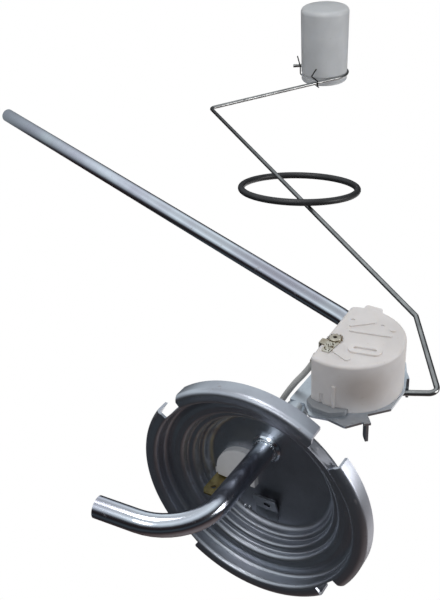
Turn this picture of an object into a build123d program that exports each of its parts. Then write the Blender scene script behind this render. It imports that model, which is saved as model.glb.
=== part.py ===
from build123d import *
import math
import os

os.makedirs("parts", exist_ok=True)

# Fuel level sender with a round pressed flange, a pickup pipe and a float arm.
# Millimetres. The origin is the centre of the seal plane on the tank side of
# the flange. +Y is the flange axis, pointing into the tank. +Z is up.
# The lid of the resistor housing faces -X, and the float arm turns about X.

# Pressed flange
sheet = 1.0
rim_radius = 45.4
rim_height = 6.9
rim_wall_radius = 0.8767 * rim_radius
skirt_gap = 0.2
bead_radius = 0.7930 * rim_radius
bead_height = 0.5
well_radius_outer = 0.6938 * rim_radius
well_radius_middle = 0.9048 * well_radius_outer
well_radius_inner = 0.8413 * well_radius_outer
well_depth_outer = 2.0
well_depth_middle = 5.5
well_depth_floor = 9.5
notch_count = 4
notch_angle = 48.0
notch_root_width = 10.0
notch_mouth_width = 15.0

# Pickup pipe
pipe_radius = 4.0
pipe_bore_radius = 3.2
pipe_x = -11.1
pipe_z = -1.1
nozzle_end = (-13.3, -46.4, -35.2)
nozzle_corner_y = -42.0
nozzle_bend_radius = 22.0
pickup_corner_y = 94.8
pickup_bend_radius = 20.0
pickup_end = (-24.25, 195.2, -292.8)
braze_gap = 0.05
collar_radius = 5.8
collar_height = 1.6

# Hinge of the float arm, a line along X
pivot_y = 54.4
pivot_z = 10.4

# Bracket
bracket_top_x = -16.1
saddle_start_y = 29.4
saddle_end_y = 33.8
saddle_sheet = 1.0
stop_angle_upper = 141.0
stop_radius_inner = 22.8
stop_width = 4.2
stop_lug_radius = 19.4
stop_depth_x = -7.0
rest_stop_radius = 22.5
rest_stop_sweep = 16.0
rest_root_radius = 18.6

# Housing of the resistor
drum_radius = 20.7
drum_flat = 7.95
drum_tilt = -2.0
drum_wall = 1.5
drum_lid_x = -37.0
base_height = 2.0
eyelet_y = 49.0
eyelet_z = 6.4
eyelet_radius = 1.4

# Float arm wire
wire_radius = 1.2
arm_plane_x = -10.2
float_plane_x = -1.6
shaft_end_x = -31.0
shaft_bend_radius = 3.0
corner_a = (69.79, 41.11)
corner_b = (117.04, 12.85)
corner_c = (310.81, -214.95)
shaft_clearance = 0.05

# Float
float_radius = 16.95
float_y = 410.75
float_z = -177.0
float_base_x = 3.9
float_top_x = -51.2
float_top_radius = 17.6
float_wall = 1.2
groove_depth = 1.1
wrap_end_angle = -31.8
tail_length = 22.0

# Seal ring threaded on the arm
ring_radius = 33.1
ring_section = 1.9
ring_hang_y = 195.44
ring_facing = (-0.98, 0.20, -0.07)
ring_swing = -12.8
ring_gap = 0.1

# Electrical parts on the flange floor
insulator_radius = 0.4377 * well_radius_inner
insulator_x = 0.1774 * well_radius_inner
insulator_z = -0.3887 * well_radius_inner
insulator_height = 3.0
insulator_flat_x = insulator_x + 0.319 * insulator_radius
insulator_flat_z = insulator_z + 0.431 * insulator_radius
blade_width = 6.3
blade_sheet = 0.8
blade_x = insulator_x + 0.3966 * insulator_radius
blade_z = insulator_z - 0.7845 * insulator_radius
blade_tip_y = -3.6
blade_tail_y = 17.0
ground_width = 9.4
ground_sheet = 0.8
ground_z = -1.4
ground_edge_x = 0.4226 * well_radius_inner
ground_foot_x = 0.8755 * well_radius_inner

# Lead wire
lead_radius = 1.2

# Derived places
skin = 0.3
floor_front = well_depth_floor
floor_back = well_depth_floor + sheet
bracket_back_x = bracket_top_x + sheet
base_top_x = bracket_top_x - base_height
wrap_radius = float_radius + wire_radius - groove_depth
stop_radius_outer = stop_radius_inner + stop_width
drum_back_y = pivot_y + drum_radius


def across(y):
    """Plane square to the flange axis at height y, with local x along X and local y along Z."""
    return Plane.XZ.offset(-y)


def side(x):
    """Plane square to the hinge at X = x, with local x along Y and local y along Z."""
    return Plane.YZ.offset(x)


def drum_plane(x):
    """Plane of the housing at X = x, centred on the hinge and turned with its flat side."""
    tilt = math.radians(drum_tilt)
    return Plane(
        origin=(x, pivot_y, pivot_z),
        x_dir=(0, math.cos(tilt), math.sin(tilt)),
        z_dir=(1, 0, 0),
    )


def polar(radius, angle):
    """Point in the plane of the arm, measured from the hinge, angle from +Y towards +Z."""
    turn = math.radians(angle)
    return (pivot_y + radius * math.cos(turn), pivot_z + radius * math.sin(turn))


def float_point(x, radius, angle):
    """Point round the axis of the float, angle from +Y towards +Z."""
    turn = math.radians(angle)
    return (x, float_y + radius * math.cos(turn), float_z + radius * math.sin(turn))


def parallel_line(points, radii, gap):
    """Points and corner radii of a line that runs beside another one, to its right."""
    places = [Vector(*point) for point in points]
    headings = [(b - a).normalized() for a, b in zip(places, places[1:])]
    rights = [Vector(h.Y, -h.X) for h in headings]
    moved = [places[0] + rights[0] * gap]
    bends = []
    for place, before, after, r1, r2, radius in zip(places[1:], headings, headings[1:],
                                                    rights, rights[1:], radii):
        moved.append(place + (r1 + r2) * (gap / (1 + r1.dot(r2))))
        turns_left = before.X * after.Y - before.Y * after.X > 0
        bends.append(radius + gap if turns_left else radius - gap)
    moved.append(places[-1] + rights[-1] * gap)
    return moved, bends


# The pressed flange, one line of the outer face thickened inwards and turned
outer_face = -sheet
flange_line = [
    (rim_radius, -skirt_gap),
    (rim_radius, -rim_height),
    (rim_wall_radius, -rim_height),
    (rim_wall_radius, outer_face),
    (bead_radius + 1.4, outer_face),
    (bead_radius + 0.7, outer_face - bead_height),
    (bead_radius - 0.7, outer_face - bead_height),
    (bead_radius - 1.4, outer_face),
    (well_radius_outer, outer_face),
    (well_radius_outer, well_depth_outer),
    (well_radius_middle, well_depth_outer),
    (well_radius_middle, well_depth_middle),
    (well_radius_inner, well_depth_middle),
    (well_radius_inner, well_depth_floor),
    (0, well_depth_floor),
]
flange_radii = [2.0, 1.7, 0.6, 0.3, 1.2, 1.2, 0.3, 1.7, 0.5, 1.4, 0.5, 1.4, 1.3]
with BuildSketch() as notch_shape:
    with BuildLine() as notch_outline:
        FilletPolyline(
            (rim_wall_radius, -notch_root_width / 2),
            (rim_radius - 2.4, -notch_root_width / 2 - 0.3),
            (rim_radius + 1.5, -notch_mouth_width / 2 - 1.4),
            (rim_radius + 1.5, notch_mouth_width / 2 + 1.4),
            (rim_radius - 2.4, notch_root_width / 2 + 0.3),
            (rim_wall_radius, notch_root_width / 2),
            close=True,
            radius=[0.2, 2.0, 0.2, 0.2, 2.0, 0.2],
        )
    make_face()
with BuildPart() as flange:
    with BuildSketch(Plane.XY) as flange_section:
        inner_line, inner_radii = parallel_line(flange_line, flange_radii, sheet)
        with BuildLine() as flange_outline:
            front = FilletPolyline(*flange_line, radius=flange_radii)
            back = FilletPolyline(*inner_line, radius=inner_radii)
            Line(front @ 0, back @ 0)
            Line(front @ 1, back @ 1)
        make_face()
    revolve(axis=Axis.Y)
    # Four notches through the rim, opening outwards
    with BuildSketch(across(-rim_height - 1)) as notches:
        with PolarLocations(0, notch_count, start_angle=notch_angle):
            add(notch_shape.sketch)
        Circle(rim_wall_radius + sheet + 0.1, mode=Mode.SUBTRACT)
    extrude(amount=-(rim_height + 3), mode=Mode.SUBTRACT)
    # Holes in the floor for the pipe and for the insulator
    with BuildSketch(across(floor_front - 1)) as floor_holes:
        with Locations((pipe_x, pipe_z)):
            Circle(pipe_radius + braze_gap)
        with Locations((blade_x - 1.5, blade_z)):
            RectangleRounded(6.0, blade_width + 2.0, 1.0)
    extrude(amount=-(sheet + 2), mode=Mode.SUBTRACT)
flange.part.label = "flange"
export_step(flange.part, "parts/flange.step")

# The pickup pipe, nozzle outside and suction end in the tank
with BuildPart() as pickup_pipe:
    with BuildLine() as pipe_path:
        FilletPolyline(
            nozzle_end,
            (pipe_x, nozzle_corner_y, pipe_z),
            (pipe_x, pickup_corner_y, pipe_z),
            pickup_end,
            radius=[nozzle_bend_radius, pickup_bend_radius],
        )
    with BuildSketch(Plane(pipe_path.line @ 0, z_dir=pipe_path.line % 0)):
        Circle(pipe_radius)
        Circle(pipe_bore_radius, mode=Mode.SUBTRACT)
    sweep(path=pipe_path.line)
pickup_pipe.part.label = "pickup_pipe"
export_step(pickup_pipe.part, "parts/pickup_pipe.step")

# Turned collar brazed round the pipe on the outer face of the floor
with BuildPart() as pipe_collar:
    with BuildSketch(across(floor_front)):
        with Locations((pipe_x, pipe_z)):
            Circle(collar_radius)
            Circle(pipe_radius + braze_gap, mode=Mode.SUBTRACT)
    extrude(amount=collar_height)
    chamfer(pipe_collar.edges().group_by(Axis.Y)[0].sort_by(SortBy.RADIUS)[-1:], length=0.6)
pipe_collar.part.label = "pipe_collar"
export_step(pipe_collar.part, "parts/pipe_collar.step")

# Bracket, one stamping with a saddle over the pipe and two stops for the arm
contact_turn = math.degrees(math.asin(wire_radius / (rest_stop_radius - sheet / 2)))
arm_angle_rest = math.degrees(math.atan2(corner_a[1] - pivot_z, corner_a[0] - pivot_y))
rest_stop_angle = arm_angle_rest - contact_turn
stop_middle = (stop_radius_inner + stop_radius_outer) / 2
upper_turn = math.degrees(math.asin((wire_radius + sheet / 2) / stop_radius_inner))
arm_travel = stop_angle_upper - upper_turn - arm_angle_rest
bush_radius = 2.8
bush_flange_radius = 3.4
with BuildPart() as bracket:
    with BuildSketch(side(bracket_top_x)) as bracket_plate:
        with BuildLine():
            FilletPolyline(
                (33.0, -4.4),
                (78.6, -4.4),
                (81.0, 5.0),
                (80.6, 16.0),
                (78.4, 22.6),
                (74.6, 25.4),
                (67.4, 28.8),
                (58.2, 31.7),
                (45.2, 31.5),
                (37.9, 24.9),
                (33.5, 25.6),
                (27.8, 21.0),
                (29.0, 13.6),
                (27.6, 6.4),
                (33.0, 2.2),
                close=True,
                radius=[0.4, 3.0, 2.0, 2.0, 1.0, 1.0, 2.0, 1.5, 1.2, 0.8, 1.0, 1.5, 1.5, 1.0, 0.4],
            )
        make_face()
        with Locations((pivot_y, pivot_z)):
            Circle(bush_radius + braze_gap, mode=Mode.SUBTRACT)
    extrude(amount=sheet)
    # Saddle that wraps over the pipe
    with BuildSketch(across(saddle_end_y)) as saddle_ring:
        with Locations((pipe_x, pipe_z)):
            Circle(pipe_radius + sheet)
            Circle(pipe_radius, mode=Mode.SUBTRACT)
        with Locations((pipe_x + 20 - 0.8, pipe_z)):
            Rectangle(40, 40, mode=Mode.SUBTRACT)
    extrude(amount=saddle_end_y - saddle_start_y)
    # Lug and bent stop for the top of the travel
    with BuildSketch(side(bracket_top_x)) as stop_lug:
        with Locations(Location((*polar((stop_lug_radius + stop_radius_outer) / 2, stop_angle_upper), 0),
                                (0, 0, stop_angle_upper))):
            Rectangle(stop_radius_outer - stop_lug_radius, sheet + 1.6)
    extrude(amount=sheet)
    with BuildSketch(side(bracket_top_x)) as stop_tab:
        with Locations(Location((*polar(stop_middle, stop_angle_upper), 0), (0, 0, stop_angle_upper))):
            Rectangle(stop_radius_outer - stop_radius_inner, sheet)
    extrude(amount=stop_depth_x - bracket_top_x)
    fillet(bracket.edges().filter_by(
        lambda e: abs(e.center().X - stop_depth_x) < 0.01 and e.length < sheet + 0.1), radius=1.2)
    # Curved stop that the arm rests on at the bottom of its travel
    rest_inner = rest_stop_radius - sheet / 2
    rest_outer = rest_stop_radius + sheet / 2
    with BuildSketch(side(bracket_top_x)) as rest_root:
        with BuildLine():
            root_in = CenterArc((pivot_y, pivot_z), rest_root_radius,
                                rest_stop_angle - rest_stop_sweep, rest_stop_sweep)
            root_out = CenterArc((pivot_y, pivot_z), rest_outer,
                                 rest_stop_angle - rest_stop_sweep, rest_stop_sweep)
            Line(root_in @ 0, root_out @ 0)
            Line(root_in @ 1, root_out @ 1)
        make_face()
    extrude(amount=sheet)
    with BuildSketch(side(bracket_top_x)) as rest_ear:
        with BuildLine():
            ear_in = CenterArc((pivot_y, pivot_z), rest_inner,
                               rest_stop_angle - rest_stop_sweep, rest_stop_sweep)
            ear_out = CenterArc((pivot_y, pivot_z), rest_outer,
                                rest_stop_angle - rest_stop_sweep, rest_stop_sweep)
            Line(ear_in @ 0, ear_out @ 0)
            Line(ear_in @ 1, ear_out @ 1)
        make_face()
    extrude(amount=stop_depth_x - bracket_top_x)
bracket.part.label = "bracket"
export_step(bracket.part, "parts/bracket.step")

# Two braze beads along the pipe, under the plate
with BuildPart() as bracket_braze:
    with BuildSketch(across(saddle_end_y + 18.2)) as bead_section:
        with Locations((pipe_x - pipe_radius + 0.6, pipe_z)):
            Rectangle(1.2, 6.0)
            Rectangle(3.0, 1.6, mode=Mode.SUBTRACT)
        with Locations((pipe_x, pipe_z)):
            Circle(pipe_radius, mode=Mode.SUBTRACT)
    extrude(amount=14.0)
bracket_braze.part.label = "bracket_braze"
export_step(bracket_braze.part, "parts/bracket_braze.step")

# Bearing bush of the arm, through the bracket and the base of the housing
bush_end_x = arm_plane_x - shaft_bend_radius - 0.4
bush_head_x = base_top_x - 1.0
with BuildPart() as bearing_bush:
    with BuildSketch(side(bush_head_x)):
        with Locations((pivot_y, pivot_z)):
            Circle(bush_radius)
    extrude(amount=bush_end_x - bush_head_x)
    with BuildSketch(side(bracket_back_x)):
        with Locations((pivot_y, pivot_z)):
            Circle(bush_flange_radius)
    extrude(amount=1.0)
    with BuildSketch(side(base_top_x - 1.0)):
        with Locations((pivot_y, pivot_z)):
            Circle(bush_flange_radius)
    extrude(amount=1.0)
    with BuildSketch(side(bush_head_x - 1)):
        with Locations((pivot_y, pivot_z)):
            Circle(wire_radius + shaft_clearance)
    extrude(amount=bush_end_x - bush_head_x + 2, mode=Mode.SUBTRACT)
bearing_bush.part.label = "bearing_bush"
export_step(bearing_bush.part, "parts/bearing_bush.step")

# Base of the housing, inside the wall of the cover, with a foot that reaches past it
base_gap = 0.1
with BuildPart() as housing_base:
    with BuildSketch(drum_plane(bracket_top_x)) as base_round:
        Circle(drum_radius - drum_wall - base_gap)
        with Locations((0, -drum_flat + drum_wall + base_gap - drum_radius)):
            Rectangle(4 * drum_radius, 2 * drum_radius, mode=Mode.SUBTRACT)
    extrude(amount=-base_height)
    with BuildSketch(side(bracket_top_x)) as base_foot:
        with BuildLine():
            FilletPolyline(
                (45.0, 5.6),
                (36.4, 2.4),
                (33.4, 2.4),
                (30.3, 6.4),
                (30.0, 13.1),
                (33.4, 18.4),
                (37.6, 18.4),
                (45.0, 22.0),
                close=True,
                radius=[0.5, 1.2, 1.2, 1.2, 1.5, 1.2, 1.2, 0.5],
            )
        make_face()
    extrude(amount=-base_height)
    fillet(housing_base.faces().sort_by(Axis.X)[0].edges().group_by(Axis.Y)[0], radius=0.5)
    # Locating step inside the cover
    with BuildSketch(drum_plane(base_top_x)) as base_step:
        Circle(drum_radius - drum_wall - base_gap)
        with Locations((0, -drum_flat + drum_wall + base_gap - drum_radius)):
            Rectangle(4 * drum_radius, 2 * drum_radius, mode=Mode.SUBTRACT)
        Circle(drum_radius - drum_wall - 1.6, mode=Mode.SUBTRACT)
    extrude(amount=-1.2)
    with BuildSketch(side(bracket_top_x + 1)):
        with Locations((pivot_y, pivot_z)):
            Circle(bush_radius + braze_gap)
    extrude(amount=-base_height - 2, mode=Mode.SUBTRACT)
housing_base.part.label = "housing_base"
export_step(housing_base.part, "parts/housing_base.step")

# Moulded cover with its raised marks on the lid
with BuildPart() as housing_cover:
    with BuildSketch(drum_plane(bracket_top_x)) as cover_outline:
        Circle(drum_radius)
        with Locations((0, -drum_flat - drum_radius)):
            Rectangle(4 * drum_radius, 2 * drum_radius, mode=Mode.SUBTRACT)
    extrude(amount=drum_lid_x - bracket_top_x)
    fillet(housing_cover.edges().filter_by(Axis.X), radius=2.0)
    fillet(housing_cover.faces().sort_by(Axis.X)[0].edges(), radius=1.3)
    # Upright rib and groove low on the wall beside the flange
    with BuildSketch(side(base_top_x)) as wall_rib:
        with Locations(polar(drum_radius - 0.1, 172)):
            Circle(0.8)
    extrude(amount=-9.5)
    with BuildSketch(side(base_top_x)) as wall_groove:
        with Locations(polar(drum_radius + 0.6, 186)):
            Circle(1.1)
    extrude(amount=-4.5, mode=Mode.SUBTRACT)
    # Snap lug on the side away from the flange
    with BuildSketch(side(drum_lid_x + 0.5)) as snap_lug:
        with BuildLine():
            FilletPolyline(
                (drum_back_y - 3.0, pivot_z - 4.1),
                (drum_back_y + 2.2, pivot_z - 3.7),
                (drum_back_y + 2.2, pivot_z + 3.0),
                (drum_back_y - 2.4, pivot_z + 4.8),
                close=True,
                radius=[0.3, 1.0, 1.6, 0.3],
            )
        make_face()
    extrude(amount=3.2)
    # Raised ribs and bosses on the lid
    with BuildSketch(side(drum_lid_x + 0.1)) as lid_ribs:
        with Locations(Location((62.97, 11.13, 0), (0, 0, math.degrees(math.atan2(7.6, 6.4))))):
            SlotOverall(10.6, 1.4)
        with Locations(Location((58.5, 16.39, 0), (0, 0, math.degrees(math.atan2(15.3, 3.5))))):
            SlotOverall(16.4, 1.4)
        with Locations(Location((40.84, 12.85, 0), (0, 0, math.degrees(math.atan2(6.7, -3.0))))):
            SlotOverall(8.4, 2.6)
        with Locations((64.25, 23.03)):
            Circle(1.1)
    extrude(amount=-0.7)
    with BuildSketch(side(drum_lid_x + 0.1)) as lid_boss:
        with Locations(Location((47.38, 19.19, 0), (0, 0, math.degrees(math.atan2(9.6, 2.1))))):
            SlotOverall(12.6, 5.4)
            SlotOverall(8.8, 2.0, mode=Mode.SUBTRACT)
    extrude(amount=-0.9)
    # Shallow dimples left by the mould pins
    with BuildSketch(side(drum_lid_x)) as lid_dimples:
        with Locations((64.15, 6.6), (65.43, 18.31)):
            Circle(0.9)
    extrude(amount=0.4, mode=Mode.SUBTRACT)
    # Cavity and the hole for the eyelet
    with BuildSketch(drum_plane(bracket_top_x)) as cavity_outline:
        Circle(drum_radius - drum_wall)
        with Locations((0, -drum_flat + drum_wall - drum_radius)):
            Rectangle(4 * drum_radius, 2 * drum_radius, mode=Mode.SUBTRACT)
    extrude(amount=drum_lid_x + drum_wall - bracket_top_x, mode=Mode.SUBTRACT)
    # Notch in the wall for the foot of the base
    with BuildSketch(side(bracket_top_x)) as foot_notch:
        add(base_foot.sketch_local)
        offset(amount=base_gap)
    extrude(amount=-base_height - base_gap / 2, mode=Mode.SUBTRACT)
    with BuildSketch(side(drum_lid_x - 1)):
        with Locations((eyelet_y, eyelet_z)):
            Circle(eyelet_radius + braze_gap)
    extrude(amount=drum_wall + 2, mode=Mode.SUBTRACT)
housing_cover.part.label = "housing_cover"
export_step(housing_cover.part, "parts/housing_cover.step")

# Terminal strip on the lid, bent over the edge to a crimp for the lead
strip_sheet = 0.5
lead_end = (-30.0, 45.5, 0.76)
lead_corner_c = (-24.0, 44.8, -1.6)
lead_corner_b = (-16.5, 38.1, -7.4)
lead_corner_a = (5.5, 36.0, -17.5)
lead_start = (blade_x - blade_sheet / 2 - lead_radius - 0.2, 13.2, blade_z)
crimp_direction = Vector(*lead_end) - Vector(*lead_corner_c)
crimp_axis = crimp_direction.normalized()
crimp_length = 3.4
crimp_radius = lead_radius + 0.4
flat_z = pivot_z - drum_flat - (45.5 - pivot_y) * math.tan(math.radians(-drum_tilt))
with BuildPart() as housing_terminal:
    with BuildSketch(side(drum_lid_x)) as terminal_top:
        with BuildLine():
            Polyline(
                (39.8, 5.0),
                (43.6, 5.0),
                (43.9, flat_z - 0.6),
                (47.1, flat_z - 0.6),
                (47.3, 4.3),
                (51.0, 4.4),
                (51.6, 8.2),
                (48.4, 9.0),
                (39.8, 8.3),
                close=True,
            )
        make_face()
        fillet(terminal_top.vertices(), radius=0.8)
        with Locations((eyelet_y, eyelet_z)):
            Circle(eyelet_radius + braze_gap, mode=Mode.SUBTRACT)
    extrude(amount=-strip_sheet)
    with BuildSketch(Plane(origin=(drum_lid_x - strip_sheet, 45.5, flat_z - 0.2), x_dir=(0, 1, 0),
                           z_dir=(1, 0, 0))) as terminal_drop:
        with Locations((0, -strip_sheet / 2)):
            Rectangle(3.2, strip_sheet)
    extrude(amount=lead_end[0] + 3.1 - drum_lid_x + strip_sheet)
    with BuildSketch(Plane(Vector(*lead_end), z_dir=crimp_axis)):
        Circle(crimp_radius)
        Circle(lead_radius, mode=Mode.SUBTRACT)
    extrude(amount=-crimp_length)
housing_terminal.part.label = "housing_terminal"
export_step(housing_terminal.part, "parts/housing_terminal.step")

# Brass eyelet that rivets the strips to the lid
with BuildPart() as housing_eyelet:
    with BuildSketch(side(drum_lid_x - strip_sheet)):
        with Locations((eyelet_y, eyelet_z)):
            Circle(eyelet_radius)
    extrude(amount=drum_wall + 2 * strip_sheet)
    with BuildSketch(side(drum_lid_x - strip_sheet)):
        with Locations((eyelet_y, eyelet_z)):
            Circle(eyelet_radius + 0.9)
    extrude(amount=-0.6)
    fillet(housing_eyelet.faces().sort_by(Axis.X)[0].edges(), radius=0.4)
    with BuildSketch(side(drum_lid_x + drum_wall + strip_sheet)):
        with Locations((eyelet_y, eyelet_z)):
            Circle(eyelet_radius + 0.5)
    extrude(amount=0.5)
    with BuildSketch(side(drum_lid_x - 3)):
        with Locations((eyelet_y, eyelet_z)):
            Circle(eyelet_radius - 0.6)
    extrude(amount=drum_wall + 6, mode=Mode.SUBTRACT)
housing_eyelet.part.label = "housing_eyelet"
export_step(housing_eyelet.part, "parts/housing_eyelet.step")

# Resistor card, an upright strip bent round the hinge inside the drum
card_radius = drum_radius - 4.8
card_sheet = 1.0
card_start = 40.0
card_sweep = 110.0
card_top_x = -32.0
with BuildPart() as resistor_card:
    with BuildSketch(side(base_top_x)) as card_section:
        with BuildLine():
            card_in = CenterArc((pivot_y, pivot_z), card_radius - card_sheet / 2, card_start, card_sweep)
            card_out = CenterArc((pivot_y, pivot_z), card_radius + card_sheet / 2, card_start, card_sweep)
            Line(card_in @ 0, card_out @ 0)
            Line(card_in @ 1, card_out @ 1)
        make_face()
    extrude(amount=card_top_x - base_top_x)
resistor_card.part.label = "resistor_card"
export_step(resistor_card.part, "parts/resistor_card.step")

# Winding on the card, drawn as one band over its middle and top
winding_cover = 0.25
winding_margin = 6.0
with BuildPart() as resistance_winding:
    with BuildSketch(side(base_top_x - 2.5)) as winding_section:
        with BuildLine():
            band_in = CenterArc((pivot_y, pivot_z), card_radius - card_sheet / 2 - winding_cover,
                                card_start + winding_margin, card_sweep - 2 * winding_margin)
            band_out = CenterArc((pivot_y, pivot_z), card_radius + card_sheet / 2 + winding_cover,
                                 card_start + winding_margin, card_sweep - 2 * winding_margin)
            Line(band_in @ 0, band_out @ 0)
            Line(band_in @ 1, band_out @ 1)
        make_face()
    extrude(amount=card_top_x - winding_cover - base_top_x + 2.5)
    with BuildSketch(side(base_top_x)) as winding_core:
        with BuildLine():
            core_in = CenterArc((pivot_y, pivot_z), card_radius - card_sheet / 2, card_start, card_sweep)
            core_out = CenterArc((pivot_y, pivot_z), card_radius + card_sheet / 2, card_start, card_sweep)
            Line(core_in @ 0, core_out @ 0)
            Line(core_in @ 1, core_out @ 1)
        make_face()
    extrude(amount=card_top_x - base_top_x, mode=Mode.SUBTRACT)
resistance_winding.part.label = "resistance_winding"
export_step(resistance_winding.part, "parts/resistance_winding.step")

# Strip inside the lid that takes the current from the eyelet to the end of the winding
card_end = polar(card_radius, card_start + card_sweep - 2.0)
with BuildPart() as contact_strip:
    with BuildSketch(side(drum_lid_x + drum_wall)) as strip_section:
        with BuildLine():
            Polyline(
                (eyelet_y - 2.0, eyelet_z - 1.2),
                (eyelet_y + 2.0, eyelet_z - 1.2),
                (eyelet_y + 2.0, eyelet_z + 2.2),
                (card_end[0] + 3.2, card_end[1] + 1.6),
                (card_end[0] - 1.2, card_end[1] + 1.6),
                (card_end[0] - 1.2, card_end[1] - 1.4),
                (eyelet_y - 2.0, eyelet_z + 1.4),
                close=True,
            )
        make_face()
        with Locations((eyelet_y, eyelet_z)):
            Circle(eyelet_radius + braze_gap, mode=Mode.SUBTRACT)
    extrude(amount=strip_sheet)
    with BuildSketch(side(drum_lid_x + drum_wall)) as strip_leg:
        with Locations(Location((*card_end, 0), (0, 0, card_start + card_sweep))):
            Rectangle(card_sheet, 2.0)
    extrude(amount=card_top_x - drum_lid_x - drum_wall)
contact_strip.part.label = "contact_strip"
export_step(contact_strip.part, "parts/contact_strip.step")

# Hub of the wiper, keyed on the end of the arm wire
hub_radius = 5.0
hub_low_x = bush_head_x - skin
hub_high_x = -29.8
wiper_angle = 62.0
with BuildPart() as wiper_hub:
    with BuildSketch(side(hub_low_x)):
        with Locations((pivot_y, pivot_z)):
            Circle(hub_radius)
            Circle(wire_radius, mode=Mode.SUBTRACT)
    extrude(amount=hub_high_x - hub_low_x)
    chamfer(wiper_hub.faces().sort_by(Axis.X)[0].edges().sort_by(SortBy.RADIUS)[-1:], length=0.5)
wiper_hub.part.label = "wiper_hub"
export_step(wiper_hub.part, "parts/wiper_hub.step")

# Wiper, a springy brass strip from the hub over the top edge of the winding
wiper_sheet = 0.4
wiper_top_x = card_top_x - winding_cover - skin - wiper_sheet
with BuildPart() as wiper:
    with BuildSketch(side(hub_high_x)) as wiper_eye:
        with Locations((pivot_y, pivot_z)):
            Circle(3.4)
        with Locations(Location((*polar(3.6, wiper_angle), 0), (0, 0, wiper_angle))):
            Rectangle(5.0, 3.0)
        with Locations((pivot_y, pivot_z)):
            Circle(wire_radius, mode=Mode.SUBTRACT)
    extrude(amount=-wiper_sheet)
    with BuildSketch(side(hub_high_x)) as wiper_riser:
        with Locations(Location((*polar(5.9, wiper_angle), 0), (0, 0, wiper_angle))):
            Rectangle(wiper_sheet, 3.0)
    extrude(amount=wiper_top_x - hub_high_x)
    with BuildSketch(side(wiper_top_x)) as wiper_finger:
        with Locations(Location((*polar(11.9, wiper_angle), 0), (0, 0, wiper_angle))):
            Trapezoid(3.0, 12.4, 86, rotation=90)
    extrude(amount=wiper_sheet)
wiper.part.label = "wiper"
export_step(wiper.part, "parts/wiper.step")

# Push-on clip that keeps the hub on the wire
with BuildPart() as shaft_clip:
    with BuildSketch(side(hub_high_x - wiper_sheet)):
        with Locations((pivot_y, pivot_z)):
            Circle(2.6)
            Circle(wire_radius, mode=Mode.SUBTRACT)
        with Locations((pivot_y + 2.2, pivot_z)):
            Rectangle(1.6, 0.8, mode=Mode.SUBTRACT)
    extrude(amount=-0.5)
shaft_clip.part.label = "shaft_clip"
export_step(shaft_clip.part, "parts/shaft_clip.step")

# Insulator of the terminal on the flange floor
slot_play = 0.1
with BuildPart() as terminal_insulator:
    with BuildSketch(across(floor_front)) as insulator_face:
        with Locations((insulator_x, insulator_z)):
            Circle(insulator_radius)
        with Locations((insulator_flat_x + 20, insulator_z)):
            Rectangle(40, 60, mode=Mode.SUBTRACT)
        with Locations((insulator_x, insulator_flat_z + 20)):
            Rectangle(60, 40, mode=Mode.SUBTRACT)
    extrude(amount=insulator_height)
    fillet(terminal_insulator.faces().sort_by(Axis.Y)[0].edges(), radius=0.6)
    # Foot under the blade, and the shank through the floor
    with BuildSketch(across(floor_front)) as insulator_foot:
        with Locations((blade_x - 0.3, blade_z)):
            Rectangle(4.2, blade_width + 1.6)
        with Locations((0, 0)):
            Circle(well_radius_inner - 1.6, mode=Mode.INTERSECT)
    extrude(amount=1.2)
    with BuildSketch(across(floor_front)) as insulator_shank:
        with Locations((blade_x - 1.5, blade_z)):
            RectangleRounded(6.0 - 0.1, blade_width + 2.0 - 0.1, 0.9)
    extrude(amount=-(sheet + 1.2))
    with BuildSketch(across(floor_front + 5)) as insulator_slot:
        with Locations((blade_x, blade_z)):
            Rectangle(blade_sheet + 2 * slot_play, blade_width + 2 * slot_play)
    extrude(amount=12, mode=Mode.SUBTRACT)
terminal_insulator.part.label = "terminal_insulator"
export_step(terminal_insulator.part, "parts/terminal_insulator.step")

# Retaining washer on the tank side of the floor
with BuildPart() as insulator_washer:
    with BuildSketch(across(floor_back + 1.4)) as washer_face:
        with Locations((blade_x - 1.5, blade_z)):
            RectangleRounded(9.6, blade_width + 5.4, 2.0)
        with Locations((blade_x - 1.5, blade_z)):
            RectangleRounded(6.0, blade_width + 2.0, 1.0, mode=Mode.SUBTRACT)
        with Locations((0, 0)):
            Circle(well_radius_inner + sheet - 1.0, mode=Mode.INTERSECT)
    extrude(amount=1.4)
insulator_washer.part.label = "insulator_washer"
export_step(insulator_washer.part, "parts/insulator_washer.step")

# Brass blade through the insulator, with the lead crimped to its inner end
with BuildPart() as terminal_blade:
    with BuildSketch(Plane(origin=(blade_x - blade_sheet / 2, 0, blade_z), x_dir=(0, 1, 0),
                           z_dir=(1, 0, 0))) as blade_face:
        with BuildLine():
            Polyline(
                (blade_tip_y, -blade_width / 2 + 1.2),
                (blade_tip_y + 1.8, -blade_width / 2),
                (floor_back + 1.6, -blade_width / 2),
                (floor_back + 2.4, -2.2),
                (blade_tail_y, -2.2),
                (blade_tail_y, 2.2),
                (floor_back + 2.4, 2.2),
                (floor_back + 1.6, blade_width / 2),
                (blade_tip_y + 1.8, blade_width / 2),
                (blade_tip_y, blade_width / 2 - 1.2),
                close=True,
            )
        make_face()
        with Locations((blade_tip_y + 4.0, 0)):
            Circle(0.9, mode=Mode.SUBTRACT)
    extrude(amount=blade_sheet)
    start_axis = (Vector(*lead_corner_a) - Vector(*lead_start)).normalized()
    with BuildSketch(Plane(Vector(*lead_start), z_dir=start_axis)):
        Circle(crimp_radius)
        Circle(lead_radius, mode=Mode.SUBTRACT)
    extrude(amount=crimp_length)
terminal_blade.part.label = "terminal_blade"
export_step(terminal_blade.part, "parts/terminal_blade.step")

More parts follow.
